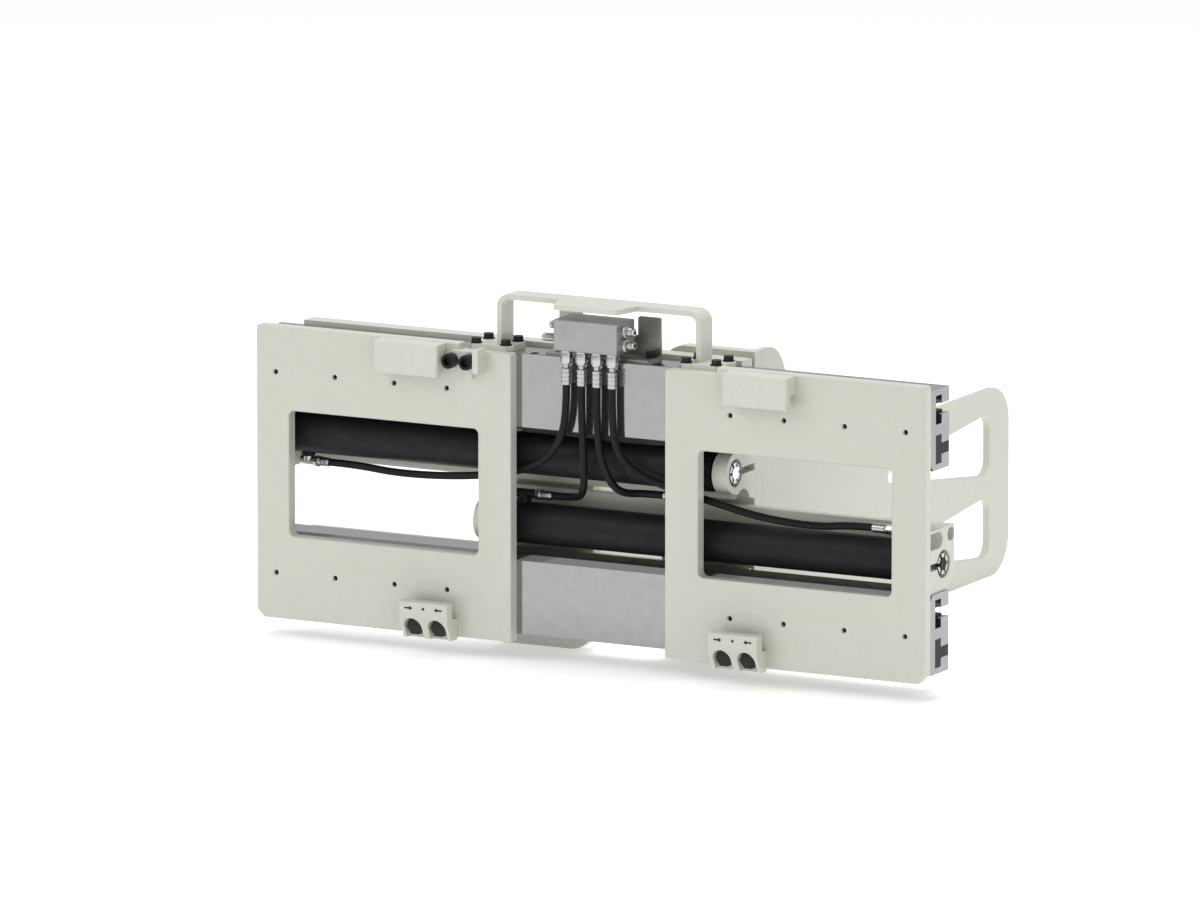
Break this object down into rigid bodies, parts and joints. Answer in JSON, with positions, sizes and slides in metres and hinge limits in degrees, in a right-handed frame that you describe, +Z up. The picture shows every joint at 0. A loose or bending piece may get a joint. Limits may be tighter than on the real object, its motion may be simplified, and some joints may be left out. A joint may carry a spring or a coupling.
{
  "type": "hydraulic squeeze clamp",
  "caption": "Carriage-mounted hydraulic clamp: a frame of plates and T-slot rails with two arms that slide apart to grip a load.",
  "frame": {"origin": "on the rear faces of the frame plates, mid-width and mid-height, where the truck's carriage bears", "axes": "+X along the rails, +Y from the truck to the load, +Z up"},
  "size_m": [1.17, 1.063, 0.574],
  "materials": {
    "beige_paint": "semi-gloss light beige-grey enamel over steel",
    "rail_aluminium": "satin extruded",
    "slide_plastic": "black wear plastic",
    "seal_plastic": "seal",
    "black_fasteners": "black oxide",
    "cylinder_black": "satin black",
    "zinc_steel": "bright zinc",
    "rod_chrome": "hard chrome",
    "machined_steel": "turned",
    "divider_aluminium": "satin milled",
    "bracket_steel": "grey passivated sheet",
    "hose_rubber": "smooth black hose cover"
  },
  "bodies": {
    "frame": {"base_end_fittings": "zinc_steel", "base_nuts": "zinc_steel", "bottom_rail": "rail_aluminium", "divider_bolts": "black_fasteners", "divider_bracket": "bracket_steel", "flow_divider_block": "divider_aluminium", "guard_feet": "beige_paint", "guard_foot_bolts": "black_fasteners", "hose_ferrules": "zinc_steel", "hose_swivel_nuts": "zinc_steel", "latch_bolts": "black_fasteners", "left_base_bracket": "beige_paint", "left_frame_plate": "beige_paint", "locating_latch": "beige_paint", "lower_barrel": "cylinder_black", "lower_base_cap": "cylinder_black", "lower_base_hose": "hose_rubber", "lower_gland": "cylinder_black", "lower_hook_bolts": "black_fasteners", "lower_hooks": "beige_paint", "lower_rod_hose": "hose_rubber", "rail_screws": "black_fasteners", "right_base_bracket": "beige_paint", "right_frame_plate": "beige_paint", "rod_end_fittings": "cylinder_black", "rod_wipers": "seal_plastic", "slot_liners": "slide_plastic", "slot_stop_blocks": "slide_plastic", "supply_adapters": "zinc_steel", "top_rail": "rail_aluminium", "upper_barrel": "cylinder_black", "upper_base_cap": "cylinder_black", "upper_base_hose": "hose_rubber", "upper_gland": "cylinder_black", "upper_hooks": "beige_paint", "upper_rod_hose": "hose_rubber", "valve_guard_bar": "beige_paint"},
    "right_arm": {"right_column": "beige_paint", "right_side_plate": "beige_paint", "right_upper_slide_bar": "beige_paint", "right_lower_slide_bar": "beige_paint", "right_mid_plate": "beige_paint", "right_rod_bracket": "beige_paint", "right_piston_rod": "rod_chrome", "right_piston": "machined_steel", "right_piston_rings": "seal_plastic", "right_rod_nut": "zinc_steel"},
    "left_arm": {"left_column": "beige_paint", "left_side_plate": "beige_paint", "left_upper_slide_bar": "beige_paint", "left_lower_slide_bar": "beige_paint", "left_mid_plate": "beige_paint", "left_rod_bracket": "beige_paint", "left_piston_rod": "rod_chrome", "left_piston": "machined_steel", "left_piston_rings": "seal_plastic", "left_rod_nut": "zinc_steel"}
  },
  "joints": [
    {"name": "right_arm_slide", "type": "slide", "parent": "frame", "child": "right_arm", "axis": [1, 0, 0], "range_m": [0, 0.6]},
    {"name": "left_arm_slide", "type": "slide", "parent": "frame", "child": "left_arm", "axis": [-1, 0, 0], "range_m": [0, 0.6]}
  ],
  "couplings": [
    {"joint": "left_arm_slide", "follows": "right_arm_slide", "ratio": 1}
  ]
}
